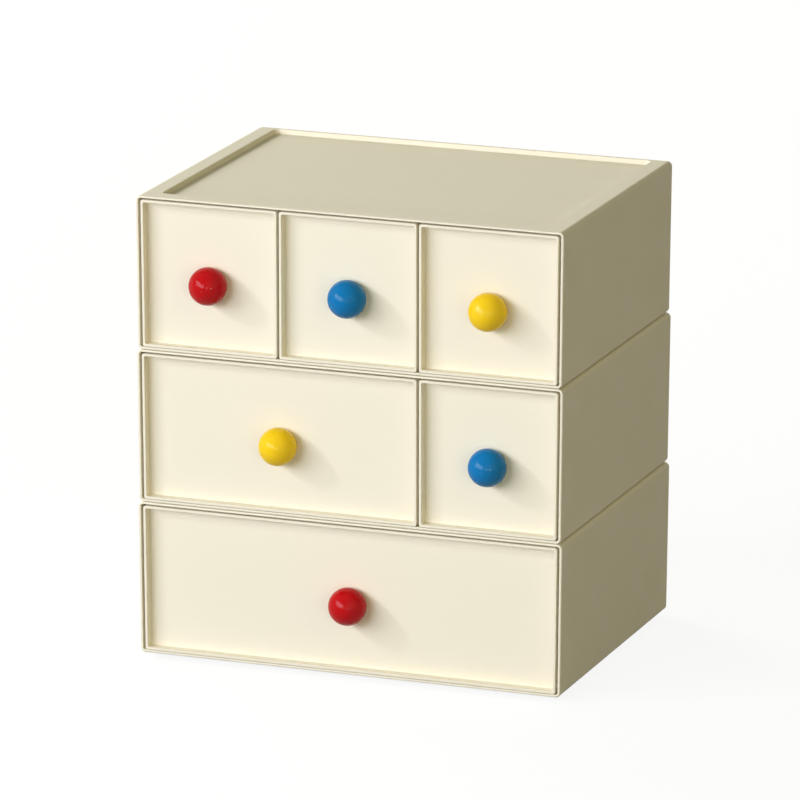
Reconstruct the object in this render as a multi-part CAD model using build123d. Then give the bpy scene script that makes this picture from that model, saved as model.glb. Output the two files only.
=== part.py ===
from build123d import *
import math
import os

# Desktop mini drawers: three stacked plastic cases with six drawers and ball knobs.
# Millimetres. +X right, +Y to the back, +Z up. The origin is under the middle of the
# whole, knobs included, on the surface that the lower foot pads stand on.

# ---------------------------------------------------------------- driving dimensions
# One case, measured over its outside at the top edge
case_width = 257.4
case_depth = 188.6
case_height = 89.7
stack_seam = 0.3            # gap between the rims of two stacked cases
draft_angle = 0.5           # degrees, sides and back lean in towards the underside
case_edge_radius = 3.0      # the four long edges, front to back
case_back_radius = 1.2      # edges round the back face
mouth_edge_radius = 0.8     # outer edge of the open mouth
side_wall = 1.6
floor_wall = 1.6            # bottom of the case, its edge shows as the lower lip
top_lip = 1.15              # the lip over the mouth
back_wall = 1.8
mouth_corner_radius = 1.5   # inside corners of the mouth
mouth_inner_radius = 0.2    # inner edge of the open mouth

# Shallow tray in the top of each case
tray_depth = 2.9
tray_plate = 1.8            # thickness under the tray
tray_side_rim = 11.8
tray_front_rim = 10.5
tray_back_rim = 3.0
tray_corner_radius = 4.0
tray_foot_radius = 0.8      # soft corner between the tray's floor and its walls
tray_edge_radius = 0.4      # round the top of the tray
tray_wall_angle = 3.0       # degrees off upright

# Feet under each case, with a soft pad under each
foot_diameter = 15.0
foot_pad_diameter = 12.0
foot_pad_thickness = 1.4
foot_pad_recess = 0.5       # how deep the pad sits in its foot
foot_play = 0.7             # between a foot and the wall of the tray below

# Ribs inside the case that hold the partitions and guide the drawers
guide_rib_height = 1.8
guide_rib_width = 1.4
side_rib_width = 2.4
guide_rib_setback = 14.0    # from the front of the case
top_rib_height = 1.2
partition_thickness = 1.6
partition_play = 0.15       # each side, between the ribs
partition_setback = 11.0
partition_end_gap = 0.2

# Drawer fronts
front_side_gap = 1.5        # beside and between the fronts
front_top_gap = 1.05
front_bottom_gap = 0.3
front_corner_radius = 1.3
front_edge_radius = 0.2
front_rim_width = 1.45
panel_recess = 5.7
panel_thickness = 2.2
panel_corner_radius = 0.8
panel_foot_radius = 0.5     # soft corner between the panel and its rim
panel_edge_radius = 0.15    # inner edge of the rim

# Drawer boxes
box_wall = 1.6
box_floor = 1.7
box_inset = 1.0             # how far the box is narrower than its front, each side
box_corner_radius = 3.0
box_floor_radius = 1.2      # inside, between floor and walls
box_edge_radius = 0.5       # on top of the walls
box_top_gap = 0.6           # over the walls, to the stop ribs
box_back_gap = 1.6          # behind the box
runner_width = 2.0
runner_lift = 0.8           # of the box over the guide ribs
runner_play = 0.5           # beside the guide ribs
runner_gap = 0.2            # under the runners
closed_gap = 0.3            # runner ends to the back wall

# Stops that end the drawer's travel
drawer_travel = 143.0
stop_rib_height = 1.5
stop_rib_thickness = 2.0
stop_rib_length = 30.0
stop_tab_length = 20.0
stop_tab_overlap = 1.0
stop_gap = 0.3

# Ball knobs and what fastens them
knob_diameter = 22.0
knob_length = 17.9          # from the panel to the front of the ball
knob_height = 40.8          # above the case's lower edge
knob_base_chamfer = 0.4
insert_diameter = 5.6
insert_length = 8.0
insert_edge = 0.4
screw_diameter = 4.0
screw_length = 9.0          # under the head
screw_head_diameter = 7.6
screw_head_height = 2.6
screw_head_radius = 1.0
screw_slot_width = 1.1
screw_slot_depth = 1.2
screw_play = 0.05           # in the insert
panel_hole_play = 0.3
washer_diameter = 10.0
washer_thickness = 0.8
press_play = 0.02           # round the insert and the foot pads

# ---------------------------------------------------------------- derived sizes
lean = math.tan(math.radians(draft_angle))
case_pitch = case_height + stack_seam
foot_height = tray_depth + stack_seam
foot_stub_height = foot_height - foot_pad_thickness + foot_pad_recess
ceiling = case_height - tray_depth - tray_plate
lip_under = case_height - top_lip
tray_half_width = case_width / 2 - tray_side_rim
third = (case_width / 2 - side_wall - front_side_gap / 2) / 3
rib_centre = partition_thickness / 2 + partition_play + guide_rib_width / 2
front_low = floor_wall + front_bottom_gap
front_high = lip_under - front_top_gap
front_depth = panel_recess + panel_thickness
box_low = floor_wall + guide_rib_height + runner_lift
box_high = ceiling - stop_rib_height - box_top_gap
inside_back_low = case_depth - case_height * lean - back_wall
box_back = inside_back_low - box_back_gap
tab_front = box_back - box_wall
stop_back = tab_front - drawer_travel - stop_gap
knob_radius = knob_diameter / 2
knob_reach = knob_length - panel_recess
front_y = (knob_reach - case_depth) / 2
third_centres = (-2 * third, 0.0, 2 * third)


def half_width(z):
    """Half the case's outside width at height z over its lower edge."""
    return case_width / 2 - (case_height - z) * lean


def back_at(z):
    """Outside of the case's back at height z, measured from its front."""
    return case_depth - (case_height - z) * lean


def cuboid(x, y, z):
    """A block between the pairs of limits x, y and z."""
    size = (x[1] - x[0], y[1] - y[0], z[1] - z[0])
    middle = ((x[0] + x[1]) / 2, (y[0] + y[1]) / 2, (z[0] + z[1]) / 2)
    return Pos(*middle) * Box(*size)


def upright_disc(diameter, height):
    """A disc that stands on z = 0."""
    return Cylinder(diameter / 2, height, align=(Align.CENTER, Align.CENTER, Align.MIN))


def leaning_block(z, inset, front, back_inset):
    """A block whose sides and back follow the case's draft, set in from its outside."""
    faces = []
    for level in z:
        half = half_width(level) - inset
        back = back_at(level) - back_inset
        outline = Rectangle(2 * half, back - front)
        faces.append(Pos(0, (front + back) / 2, level) * outline)
    return loft(faces, ruled=True)


def inner_edges(face):
    """Edges of the opening in a ring-shaped face."""
    return face.inner_wires()[0].edges()


def long_edges(block):
    """The four edges of a block that run from front to back."""
    edges = block.edges().filter_by(lambda e: abs(e.tangent_at(0.5).Y) > 0.99)
    return edges.filter_by(lambda e: e.length > case_depth / 3)


# ---------------------------------------------------------------- cases
def tray_cut():
    """The shallow tray in a case's top, with its walls a little off upright."""
    spread = tray_depth * math.tan(math.radians(tray_wall_angle))
    front = tray_front_rim
    back = case_depth - tray_back_rim
    floor = case_height - tray_depth
    middle = (front + back) / 2
    low = RectangleRounded(2 * (tray_half_width - spread), back - front - 2 * spread,
                           tray_corner_radius - spread)
    high = RectangleRounded(2 * tray_half_width, back - front, tray_corner_radius)
    cut = loft([Pos(0, middle, floor) * low, Pos(0, middle, case_height) * high], ruled=True)
    bottom = cut.faces().sort_by(Axis.Z)[0]
    return fillet(bottom.edges(), tray_foot_radius)


def case_hollow():
    """The space inside a case, which steps down under the tray."""
    hollow = leaning_block((floor_wall, lip_under), side_wall, -1.0, back_wall)
    hollow = fillet(long_edges(hollow), mouth_corner_radius)
    under_tray = cuboid(
        (-tray_half_width - tray_plate, tray_half_width + tray_plate),
        (tray_front_rim - tray_plate, case_depth),
        (ceiling, case_height),
    )
    return hollow - under_tray


def partition_ribs(side):
    """Two ribs below and two above that hold a partition at one third line."""
    ribs = []
    back = back_at(0) - back_wall / 2
    for offset in (-rib_centre, rib_centre):
        middle = side * third + offset
        x = (middle - guide_rib_width / 2, middle + guide_rib_width / 2)
        ribs.append(cuboid(x, (guide_rib_setback, back), (floor_wall, floor_wall + guide_rib_height)))
        ribs.append(cuboid(x, (guide_rib_setback, back), (ceiling - top_rib_height, ceiling)))
    return ribs


def side_guides():
    """A rib along the foot of each side wall, which steers the outer runners."""
    ribs = []
    top = floor_wall + guide_rib_height
    inner = half_width(top) - side_wall - side_rib_width
    outer = half_width(0) - side_wall / 2
    for side in (-1, 1):
        x = sorted((side * inner, side * outer))
        ribs.append(cuboid(x, (guide_rib_setback, back_at(0) - back_wall / 2), (floor_wall, top)))
    return ribs


def stop_ribs():
    """Short ribs under the ceiling that the drawers' tabs meet when pulled out."""
    ribs = []
    for middle in third_centres:
        x = (middle - stop_rib_length / 2, middle + stop_rib_length / 2)
        y = (stop_back - stop_rib_thickness, stop_back)
        ribs.append(cuboid(x, y, (ceiling - stop_rib_height, ceiling)))
    return ribs


def foot_places():
    """Centres of the four feet, inside the corners of the tray below."""
    reach = foot_diameter / 2 + foot_play
    x = tray_half_width - tray_depth * math.tan(math.radians(tray_wall_angle)) - reach
    front = tray_front_rim + reach
    back = case_depth - tray_back_rim - reach
    return [(-x, front), (x, front), (-x, back), (x, back)]


def make_case():
    """One case in its own place: front at y = 0, lower edge at z = 0."""
    shell = leaning_block((0, case_height), 0.0, 0.0, 0.0)
    shell = fillet(long_edges(shell), case_edge_radius)
    back_face = shell.faces().sort_by(Axis.Y)[-1]
    shell = fillet(back_face.edges(), case_back_radius)
    front_face = shell.faces().sort_by(Axis.Y)[0]
    shell = fillet(front_face.edges(), mouth_edge_radius)
    shell = shell - case_hollow() - tray_cut()
    shell = fillet(inner_edges(shell.faces().sort_by(Axis.Y)[0]), mouth_inner_radius)
    shell = fillet(inner_edges(shell.faces().sort_by(Axis.Z)[-1]), tray_edge_radius)
    for rib in partition_ribs(-1) + partition_ribs(1) + side_guides() + stop_ribs():
        shell = shell + rib
    for x, y in foot_places():
        low = Pos(x, y, -foot_stub_height)
        stub = low * upright_disc(foot_diameter, foot_stub_height + floor_wall / 2)
        socket = low * upright_disc(foot_pad_diameter + 2 * press_play, foot_pad_recess)
        shell = shell + stub - socket
    return shell


def make_foot_pads():
    """The four soft pads under one case, as separate discs."""
    pads = []
    for x, y in foot_places():
        pads.append(Pos(x, y, -foot_height) * upright_disc(foot_pad_diameter, foot_pad_thickness))
    return Compound(children=pads)


def make_partition(side):
    """A plain plate between two drawers, behind their fronts."""
    middle = side * third
    x = (middle - partition_thickness / 2, middle + partition_thickness / 2)
    y = (partition_setback, back_at(0) - back_wall - partition_end_gap)
    return cuboid(x, y, (floor_wall, ceiling))


# ---------------------------------------------------------------- drawers
def front_edge_x(line, inner_side, z):
    """X of a drawer front's side edge: line is a third line, -3 to 3 in steps of 2."""
    if abs(line) == 3:
        return math.copysign(half_width(z) - side_wall - front_side_gap, line)
    return line * third + inner_side * front_side_gap / 2


def front_outline(first, last, inset):
    """Outline of a drawer front between two third lines, as a face in the XZ plane."""
    low = front_low + inset
    high = front_high - inset
    corners = [
        (front_edge_x(first, 1, low) + inset, low),
        (front_edge_x(last, -1, low) - inset, low),
        (front_edge_x(last, -1, high) - inset, high),
        (front_edge_x(first, 1, high) + inset, high),
    ]
    face = make_face(Polyline(*corners, close=True))
    radius = front_corner_radius if inset == 0 else panel_corner_radius
    return fillet(face.vertices(), radius)


def towards_back(face, y, depth):
    """Push an XZ outline from y towards the back."""
    plane = Plane(origin=(0, y, 0), x_dir=(1, 0, 0), z_dir=(0, -1, 0))
    return extrude(plane * face, amount=-depth)


def make_front(first, last):
    """The drawer's front: a panel sunk inside a thin rim."""
    block = towards_back(front_outline(first, last, 0), 0, front_depth)
    block = fillet(block.faces().sort_by(Axis.Y)[0].edges(), front_edge_radius)
    sink = towards_back(front_outline(first, last, front_rim_width), -1.0, panel_recess + 1.0)
    sink = fillet(sink.faces().sort_by(Axis.Y)[-1].edges(), panel_foot_radius)
    front = block - sink
    return fillet(inner_edges(front.faces().sort_by(Axis.Y)[0]), panel_edge_radius)


def box_sides(first, last):
    """Outer X limits of a drawer's box."""
    left = front_edge_x(first, 1, front_low) + box_inset
    right = front_edge_x(last, -1, front_low) - box_inset
    return left, right


def open_box(first, last):
    """The tray behind the front, open on top."""
    left, right = box_sides(first, last)
    y = (front_depth - panel_thickness / 2, box_back)
    outer = cuboid((left, right), y, (box_low, box_high))
    upright = outer.edges().filter_by(Axis.Z).sort_by(Axis.Y)[-2:]
    outer = fillet(upright, box_corner_radius)
    inner = cuboid((left + box_wall, right - box_wall), (front_depth, box_back - box_wall),
                   (box_low + box_floor, box_high + 1.0))
    inner = fillet(inner.edges().filter_by(Axis.Z), box_corner_radius - box_wall)
    inner = fillet(inner.faces().sort_by(Axis.Z)[0].edges(), box_floor_radius)
    tray = outer - inner
    return fillet(tray.faces().sort_by(Axis.Z)[-1].edges(), box_edge_radius)


def runners(first, last):
    """Two skids under the box, just inside the guide ribs on each side."""
    skids = []
    low = floor_wall + runner_gap
    for line, inner_side in ((first, 1), (last, -1)):
        if abs(line) == 3:
            guide = half_width(floor_wall + guide_rib_height) - side_wall - side_rib_width
            edge = math.copysign(guide - runner_play, line)
        else:
            edge = line * third + inner_side * (rib_centre + guide_rib_width / 2 + runner_play)
        x = sorted((edge, edge + inner_side * runner_width))
        y = (front_depth - panel_thickness / 2, inside_back_low - closed_gap)
        skids.append(cuboid(x, y, (low, box_low + box_floor / 2)))
    return skids


def stop_tabs(first, last):
    """Tabs on top of the rear wall, one for each third that the drawer spans."""
    tabs = []
    high = ceiling - stop_rib_height + stop_tab_overlap
    for middle in third_centres:
        if first * third < middle < last * third:
            x = (middle - stop_tab_length / 2, middle + stop_tab_length / 2)
            tabs.append(cuboid(x, (tab_front, box_back), (box_high - box_wall, high)))
    return tabs


def make_drawer(first, last):
    """One drawer between two third lines, with the hole for its knob screw."""
    drawer = make_front(first, last) + open_box(first, last)
    for piece in runners(first, last) + stop_tabs(first, last):
        drawer = drawer + piece
    middle = (first + last) / 2 * third
    hole = Pos(middle, front_depth, knob_height) * Rot(90, 0, 0) * Cylinder(
        screw_diameter / 2 + panel_hole_play, 2 * panel_thickness + panel_recess)
    return drawer - hole


# ---------------------------------------------------------------- knobs and fasteners
# These are turned about the Z axis, base at z = 0, and then laid with their tips forward.
def turned(points):
    """A solid turned about Z from an outline of (radius, height) points."""
    face = make_face(Polyline(*points, close=True))
    return revolve(Plane.XZ * face, Axis.Z)


def make_knob():
    """A ball with a flat seat, bored for its threaded insert."""
    centre = knob_length - knob_radius
    ball = Pos(0, 0, centre) * Sphere(knob_radius)
    ball = ball - Pos(0, 0, -knob_radius) * Cylinder(2 * knob_radius, 2 * knob_radius)
    seat = ball.edges().filter_by(GeomType.CIRCLE).sort_by(Axis.Z)[0]
    ball = chamfer(seat, knob_base_chamfer)
    bore = Cylinder(insert_diameter / 2 + press_play, 2 * insert_length)
    return ball - bore


def make_insert():
    """Threaded brass sleeve, flush with the knob's seat."""
    bore = screw_diameter / 2 + screw_play
    outer = insert_diameter / 2
    return turned([
        (bore, 0), (outer, 0), (outer, insert_length - insert_edge),
        (outer - insert_edge, insert_length), (bore, insert_length),
    ])


def make_screw():
    """Slotted pan-head screw, under-head face at z = 0, shank towards +Z."""
    shank = screw_diameter / 2
    screw = turned([
        (0, -screw_head_height), (screw_head_diameter / 2, -screw_head_height),
        (screw_head_diameter / 2, 0), (shank, 0),
        (shank, screw_length - shank / 2), (shank / 2, screw_length), (0, screw_length),
    ])
    rim = screw.edges().filter_by(GeomType.CIRCLE).sort_by(Axis.Z)[0]
    screw = fillet(rim, screw_head_radius)
    slot = Pos(0, 0, -screw_head_height) * Box(screw_head_diameter, screw_slot_width, 2 * screw_slot_depth)
    return screw - slot


def make_washer():
    """Flat ring under the screw's head."""
    ring = Cylinder(washer_diameter / 2, washer_thickness)
    return ring - Cylinder(screw_diameter / 2 + panel_hole_play, washer_thickness)


def face_forward(shape, x, y):
    """Lay a turned piece so that its +Z points to the front, at the knob's height."""
    return Pos(x, y, knob_height) * Rot(90, 0, 0) * shape


# ---------------------------------------------------------------- assembly
# Each unit: its name, the third lines where partitions stand, and its drawers as
# (name, first third line, last third line).
units = [
    ("lower", [], [("lower", -3, 3)]),
    ("middle", [("middle", 1)], [("middle_wide", -3, 1), ("middle_right", 1, 3)]),
    ("upper", [("upper_left", -1), ("upper_right", 1)],
     [("upper_left", -3, -1), ("upper_centre", -1, 1), ("upper_right", 1, 3)]),
]

os.makedirs("parts", exist_ok=True)


def save(shape, place, node):
    """Write one piece in its place as parts/NODE.step."""
    export_step(place * shape, "parts/" + node + ".step")


for level, (unit, partitions, drawers) in enumerate(units):
    place = Pos(0, front_y, foot_height + level * case_pitch)
    save(make_case(), place, unit + "_case")
    save(make_foot_pads(), place, unit + "_foot_pads")
    for name, side in partitions:
        save(make_partition(side), place, name + "_partition")
    for name, first, last in drawers:
        middle = (first + last) / 2 * third
        save(make_drawer(first, last), place, name + "_drawer")
        save(face_forward(make_knob(), middle, panel_recess), place, name + "_knob")
        save(face_forward(make_insert(), middle, panel_recess), place, name + "_knob_insert")
        head = front_depth + washer_thickness
        save(face_forward(make_screw(), middle, head), place, name + "_knob_screw")
        save(face_forward(make_washer(), middle, front_depth + washer_thickness / 2), place,
             name + "_knob_washer")
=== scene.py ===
import bpy
import math
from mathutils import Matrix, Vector

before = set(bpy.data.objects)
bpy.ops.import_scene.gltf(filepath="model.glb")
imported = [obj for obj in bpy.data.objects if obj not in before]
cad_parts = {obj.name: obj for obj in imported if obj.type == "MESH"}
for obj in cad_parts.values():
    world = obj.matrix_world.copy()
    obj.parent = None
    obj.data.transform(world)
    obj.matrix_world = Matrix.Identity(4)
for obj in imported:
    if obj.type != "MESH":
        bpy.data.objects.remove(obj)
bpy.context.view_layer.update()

# ---------------------------------------------------------------- camera
# The drawers are seen from a little to the right and above. A long lens about four metres
# away keeps their edges almost parallel.
camera_place = (1.44565, -3.8364, 1.2382)
camera_turn = 20.670        # degrees to the left of straight ahead
camera_dip = 14.955         # degrees below the horizon
camera_lens = 331.86        # millimetres
camera_sensor = 36.0        # millimetres wide
camera_near = 0.1
camera_far = 60.0

camera_data = bpy.data.cameras.new("camera")
camera_data.sensor_width = camera_sensor
camera_data.lens = camera_lens
camera_data.clip_start = camera_near
camera_data.clip_end = camera_far
camera = bpy.data.objects.new("camera", camera_data)
camera.location = camera_place
camera.rotation_euler = (math.radians(90.0 - camera_dip), 0.0, math.radians(camera_turn))
bpy.context.scene.collection.objects.link(camera)
bpy.context.scene.camera = camera
bpy.context.scene.view_settings.view_transform = "Standard"


# ---------------------------------------------------------------- floor and backdrop
# A plain white studio: a wide white floor that keeps a soft shadow, and white all round it.
# Both look white to the camera and in a gloss, and light the drawers less than that white would.
def new_material(name):
    """An empty node material, its node tree and its output node."""
    material = bpy.data.materials.new(name)
    material.use_nodes = True
    tree = material.node_tree
    tree.nodes.clear()
    return material, tree, tree.nodes.new("ShaderNodeOutputMaterial")


def add_node(tree, kind, settings=None, inputs=None):
    """A node with its settings, its constant inputs and the sockets linked to it."""
    node = tree.nodes.new(kind)
    for name, value in (settings or {}).items():
        setattr(node, name, value)
    for name, value in (inputs or {}).items():
        if isinstance(value, bpy.types.NodeSocket):
            tree.links.new(value, node.inputs[name])
        else:
            node.inputs[name].default_value = value
    return node


def arithmetic(tree, operation, first, second):
    """One step of arithmetic on two values."""
    return add_node(tree, "ShaderNodeMath", {"operation": operation}, {0: first, 1: second}).outputs[0]


def seen_directly(tree):
    """1 where the camera, a gloss or a glass looks straight at the studio, else 0."""
    path = add_node(tree, "ShaderNodeLightPath")
    straight = arithmetic(
        tree, "MAXIMUM", path.outputs["Is Camera Ray"], path.outputs["Is Glossy Ray"])
    return arithmetic(tree, "MAXIMUM", straight, path.outputs["Is Transmission Ray"])


floor_radius = 14.0
floor_corners = 96
floor_paint = (0.14, 0.137, 0.128, 1.0)
floor_white = 0.895         # what the camera sees over and above the lit paint
room_light = (0.15, 0.138, 0.068, 1.0)
plain_white = (1.0, 1.0, 1.0, 1.0)

world = bpy.data.worlds.new("studio")
bpy.context.scene.world = world
world.use_nodes = True
tree = world.node_tree
tree.nodes.clear()
lighting = add_node(tree, "ShaderNodeBackground", inputs={"Color": room_light, "Strength": 1.0})
white = add_node(tree, "ShaderNodeBackground", inputs={"Color": plain_white, "Strength": 1.0})
choice = add_node(tree, "ShaderNodeMixShader", inputs={
    0: seen_directly(tree), 1: lighting.outputs[0], 2: white.outputs[0]})
add_node(tree, "ShaderNodeOutputWorld", inputs={"Surface": choice.outputs[0]})

floor_finish, tree, output = new_material("floor_finish")
paint = add_node(tree, "ShaderNodeBsdfDiffuse", inputs={"Color": floor_paint})
strength = arithmetic(tree, "MULTIPLY", seen_directly(tree), floor_white)
glow = add_node(tree, "ShaderNodeEmission", inputs={"Color": plain_white, "Strength": strength})
both = add_node(tree, "ShaderNodeAddShader", inputs={0: paint.outputs[0], 1: glow.outputs[0]})
tree.links.new(both.outputs[0], output.inputs["Surface"])

bpy.ops.mesh.primitive_circle_add(vertices=floor_corners, radius=floor_radius, fill_type="NGON")
floor = bpy.context.object
floor.name = "floor"
floor.data.materials.append(floor_finish)


# ---------------------------------------------------------------- lamps
# Two low softboxes side by side in front on the left give the soft short shadows, and a third
# stands behind on the left. Weaker ones fill in the rest. A small lamp and two windows glint in
# the knobs.
lamp_aim = Vector((0.0, 0.0, 0.14))     # the middle of the stack
cool_white = (0.84, 0.88, 1.0)
paper_white = (1.0, 1.0, 1.0)
day_white = (1.0, 0.99, 0.95)


def lamp_at(name, azimuth, elevation, distance, width, height, light, colour):
    """A flat lamp that faces the drawers, with its angles and its angular size in degrees.

    Azimuth 0 is straight in front and positive is to the right. light is how bright a white
    sheet that faces the lamp looks: 1 is white.
    """
    turn = math.radians(azimuth)
    rise = math.radians(elevation)
    towards = Vector((
        math.sin(turn) * math.cos(rise), -math.cos(turn) * math.cos(rise), math.sin(rise)))
    data = bpy.data.lights.new(name, "AREA")
    data.shape = "RECTANGLE"
    data.size = 2.0 * distance * math.tan(math.radians(width / 2.0))
    data.size_y = 2.0 * distance * math.tan(math.radians(height / 2.0))
    data.energy = light * (math.pi * distance) ** 2
    data.color = colour
    lamp = bpy.data.objects.new(name, data)
    bpy.context.scene.collection.objects.link(lamp)
    lamp.location = lamp_aim + towards * distance
    lamp.rotation_mode = "QUATERNION"
    lamp.rotation_quaternion = towards.to_track_quat("Z", "Y")
    lamp.visible_camera = False


lamp_at("softbox", azimuth=-18.0, elevation=14.0, distance=4.0,
        width=26.0, height=20.0, light=0.49, colour=cool_white)
lamp_at("outer_softbox", azimuth=-43.0, elevation=20.0, distance=4.0,
        width=22.0, height=22.0, light=0.46, colour=cool_white)
lamp_at("left_lamp", azimuth=-58.6, elevation=28.3, distance=3.0,
        width=3.2, height=3.2, light=0.20, colour=(0.90, 0.94, 1.0))
lamp_at("rear_left_softbox", azimuth=-122.0, elevation=24.0, distance=4.0,
        width=30.0, height=20.0, light=0.60, colour=(0.97, 1.0, 0.92))
lamp_at("low_left_lamp", azimuth=-98.0, elevation=4.0, distance=3.0,
        width=16.0, height=24.0, light=0.03, colour=paper_white)
lamp_at("right_softbox", azimuth=42.0, elevation=18.0, distance=4.0,
        width=60.0, height=40.0, light=0.155, colour=(1.0, 0.94, 0.46))
lamp_at("rear_right_softbox", azimuth=148.0, elevation=24.0, distance=4.0,
        width=34.0, height=26.0, light=0.06, colour=paper_white)
lamp_at("left_window", azimuth=15.0, elevation=4.0, distance=3.0,
        width=4.0, height=15.0, light=0.075, colour=day_white)
lamp_at("right_window", azimuth=38.0, elevation=2.5, distance=3.0,
        width=5.0, height=11.0, light=0.075, colour=day_white)


# ---------------------------------------------------------------- cases, partitions and drawers
# Injection-moulded cream plastic with a fine satin texture from the mould. The colour drifts a
# little through each moulding, and hands have polished it unevenly. The drawers slide in the
# cases, and the partitions are plugged in between their ribs.
case_tones = ((0.835, 0.770, 0.620, 1.0), (0.822, 0.756, 0.602, 1.0))
drawer_tones = ((0.838, 0.774, 0.626, 1.0), (0.826, 0.760, 0.608, 1.0))
tone_patches = 14.0         # to a metre
polish_patches = 55.0       # to a metre
patch_range = (0.3, 0.7)    # where most of a pattern of soft patches lies
satin_roughness = (0.42, 0.54)
grain_size = 0.0004         # of the satin texture
grain_depth = 0.00003
grain_strength = 0.5
sink_waves = 32.0           # to a metre, the faint waves that the plastic shrank into
sink_depth = 0.00003
sink_strength = 1.0
satin_shine = 0.08          # how strong the gloss is
plastic_index = 1.5         # how much the plastic bends light


def patches(tree, place, count, detail, roughness):
    """Soft random patches from 0 to 1, about count of them to a metre."""
    return add_node(tree, "ShaderNodeTexNoise", inputs={
        "Vector": place, "Scale": count, "Detail": detail, "Roughness": roughness}).outputs["Fac"]


def between(tree, factor, tones):
    """A colour that drifts between two tones."""
    mix = add_node(tree, "ShaderNodeMix", {"data_type": "RGBA"}, {"Factor": factor})
    colour_inputs = [socket for socket in mix.inputs if socket.type == "RGBA"]
    for socket, tone in zip(colour_inputs, tones):
        socket.default_value = tone
    return next(socket for socket in mix.outputs if socket.type == "RGBA")


def scaled(tree, value, value_range, result_range):
    """A value brought from one range to another."""
    return add_node(tree, "ShaderNodeMapRange", inputs={
        "Value": value, "From Min": value_range[0], "From Max": value_range[1],
        "To Min": result_range[0], "To Max": result_range[1]}).outputs["Result"]


def raised(tree, height, strength, depth, under=None):
    """The relief that a pattern gives, laid over another relief where there is one."""
    bump = add_node(tree, "ShaderNodeBump", inputs={
        "Height": height, "Strength": strength, "Distance": depth})
    if under is not None:
        tree.links.new(under, bump.inputs["Normal"])
    return bump.outputs["Normal"]


def surface(tree, output, inputs):
    """Make a shader with these inputs the material's surface."""
    shader = add_node(tree, "ShaderNodeBsdfPrincipled", inputs=inputs)
    tree.links.new(shader.outputs[0], output.inputs["Surface"])


def moulded_plastic(name, tones):
    """Satin moulded plastic on Object coordinates, metres."""
    material, tree, output = new_material(name)
    place = add_node(tree, "ShaderNodeTexCoord").outputs["Object"]
    drift = patches(tree, place, tone_patches, detail=3.0, roughness=0.55)
    polish = patches(tree, place, polish_patches, detail=5.0, roughness=0.6)
    grain = patches(tree, place, 1.0 / grain_size, detail=2.0, roughness=0.5)
    waves = patches(tree, place, sink_waves, detail=1.0, roughness=0.4)
    satin = raised(tree, grain, grain_strength, grain_depth)
    surface(tree, output, {
        "Base Color": between(tree, drift, tones),
        "Roughness": scaled(tree, polish, patch_range, satin_roughness),
        "Normal": raised(tree, waves, sink_strength, sink_depth, under=satin),
        "IOR": plastic_index,
        "Specular IOR Level": satin_shine})
    return material


def finish(node, material):
    """Give one carried-over piece its finish."""
    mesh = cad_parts[node].data
    mesh.materials.clear()
    mesh.materials.append(material)


case_plastic = moulded_plastic("case_plastic", case_tones)
drawer_plastic = moulded_plastic("drawer_plastic", drawer_tones)
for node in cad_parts:
    if node.endswith("_case") or node.endswith("_partition"):
        finish(node, case_plastic)
    elif node.endswith("_drawer"):
        finish(node, drawer_plastic)


# ---------------------------------------------------------------- ball knobs
# Plastic balls polished to a smooth, hard gloss, in red, blue and yellow. Each has a brass
# insert pressed into its flat seat, and a screw from inside the drawer holds it.
knob_tones = {
    "red": ((0.50, 0.0, 0.003, 1.0), (0.47, 0.0, 0.002, 1.0)),
    "blue": ((0.0, 0.17, 0.42, 1.0), (0.0, 0.155, 0.39, 1.0)),
    "yellow": ((0.90, 0.58, 0.006, 1.0), (0.86, 0.55, 0.005, 1.0)),
}
knob_colour = {
    "lower": "red", "middle_wide": "yellow", "middle_right": "blue",
    "upper_left": "red", "upper_centre": "blue", "upper_right": "yellow",
}
knob_patches = 90.0         # to a metre
touch_patches = 420.0       # to a metre, where fingers have dulled the gloss
touch_range = (0.35, 0.75)
gloss_roughness = (0.01, 0.03)
peel_patches = 700.0        # to a metre, the faintest orange peel in the gloss
peel_depth = 0.00001
peel_strength = 0.1
gloss_shine = 0.12          # how strong the gloss is


def gloss_plastic(name, tones):
    """Polished coloured plastic."""
    material, tree, output = new_material(name)
    place = add_node(tree, "ShaderNodeTexCoord").outputs["Object"]
    drift = patches(tree, place, knob_patches, detail=3.0, roughness=0.55)
    touch = patches(tree, place, touch_patches, detail=4.0, roughness=0.6)
    peel = patches(tree, place, peel_patches, detail=1.0, roughness=0.4)
    surface(tree, output, {
        "Base Color": between(tree, drift, tones),
        "Roughness": scaled(tree, touch, touch_range, gloss_roughness),
        "Normal": raised(tree, peel, peel_strength, peel_depth),
        "IOR": plastic_index,
        "Specular IOR Level": gloss_shine})
    return material


knob_finish = {}
for colour, tones in knob_tones.items():
    knob_finish[colour] = gloss_plastic(colour + "_gloss", tones)
for drawer, colour in knob_colour.items():
    finish(drawer + "_knob", knob_finish[colour])


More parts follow.
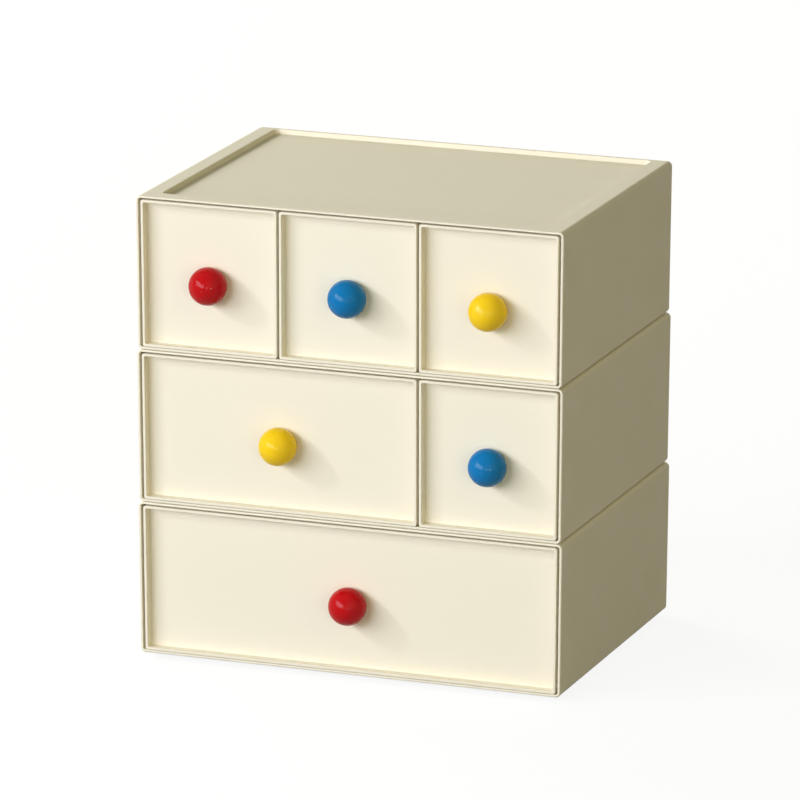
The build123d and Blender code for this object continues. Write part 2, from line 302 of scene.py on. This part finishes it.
# ---------------------------------------------------------------- screws, washers and inserts
# Each knob holds a turned brass insert. A zinc-plated steel pan-head screw runs into it
# through the drawer's front, over a flat washer.
brass_tones = ((0.72, 0.50, 0.20, 1.0), (0.60, 0.40, 0.15, 1.0))
brass_roughness = (0.22, 0.38)
zinc_tones = ((0.60, 0.60, 0.61, 1.0), (0.50, 0.50, 0.52, 1.0))
zinc_roughness = (0.25, 0.42)
stain_patches = 300.0       # to a metre
scratch_patches = 3000.0    # to a metre
scratch_depth = 0.00001
scratch_strength = 0.3


def worked_metal(name, tones, metal_roughness):
    """Turned or plated metal with a fine tooth and dull spots."""
    material, tree, output = new_material(name)
    place = add_node(tree, "ShaderNodeTexCoord").outputs["Object"]
    stain = patches(tree, place, stain_patches, detail=4.0, roughness=0.6)
    scratch = patches(tree, place, scratch_patches, detail=2.0, roughness=0.5)
    surface(tree, output, {
        "Base Color": between(tree, stain, tones),
        "Roughness": scaled(tree, stain, patch_range, metal_roughness),
        "Normal": raised(tree, scratch, scratch_strength, scratch_depth),
        "Metallic": 1.0})
    return material


brass = worked_metal("turned_brass", brass_tones, brass_roughness)
zinc = worked_metal("zinc_plated_steel", zinc_tones, zinc_roughness)
for drawer in knob_colour:
    finish(drawer + "_knob_insert", brass)
    finish(drawer + "_knob_screw", zinc)
    finish(drawer + "_knob_washer", zinc)


# ---------------------------------------------------------------- foot pads
# Die-cut discs of grey rubber, a little dusty, with fine open pores.
# They are pressed into the sockets of the feet.
rubber_tones = ((0.16, 0.16, 0.155, 1.0), (0.24, 0.235, 0.225, 1.0))
rubber_roughness = 0.85
dust_patches = 260.0        # to a metre
pore_patches = 1800.0       # to a metre
pore_depth = 0.00008
pore_strength = 0.6

pad_rubber, tree, output = new_material("pad_rubber_grey")
place = add_node(tree, "ShaderNodeTexCoord").outputs["Object"]
dust = patches(tree, place, dust_patches, detail=5.0, roughness=0.65)
pores = patches(tree, place, pore_patches, detail=3.0, roughness=0.6)
surface(tree, output, {
    "Base Color": between(tree, dust, rubber_tones),
    "Roughness": rubber_roughness,
    "Normal": raised(tree, pores, pore_strength, pore_depth)})
for unit in ("lower", "middle", "upper"):
    finish(unit + "_foot_pads", pad_rubber)
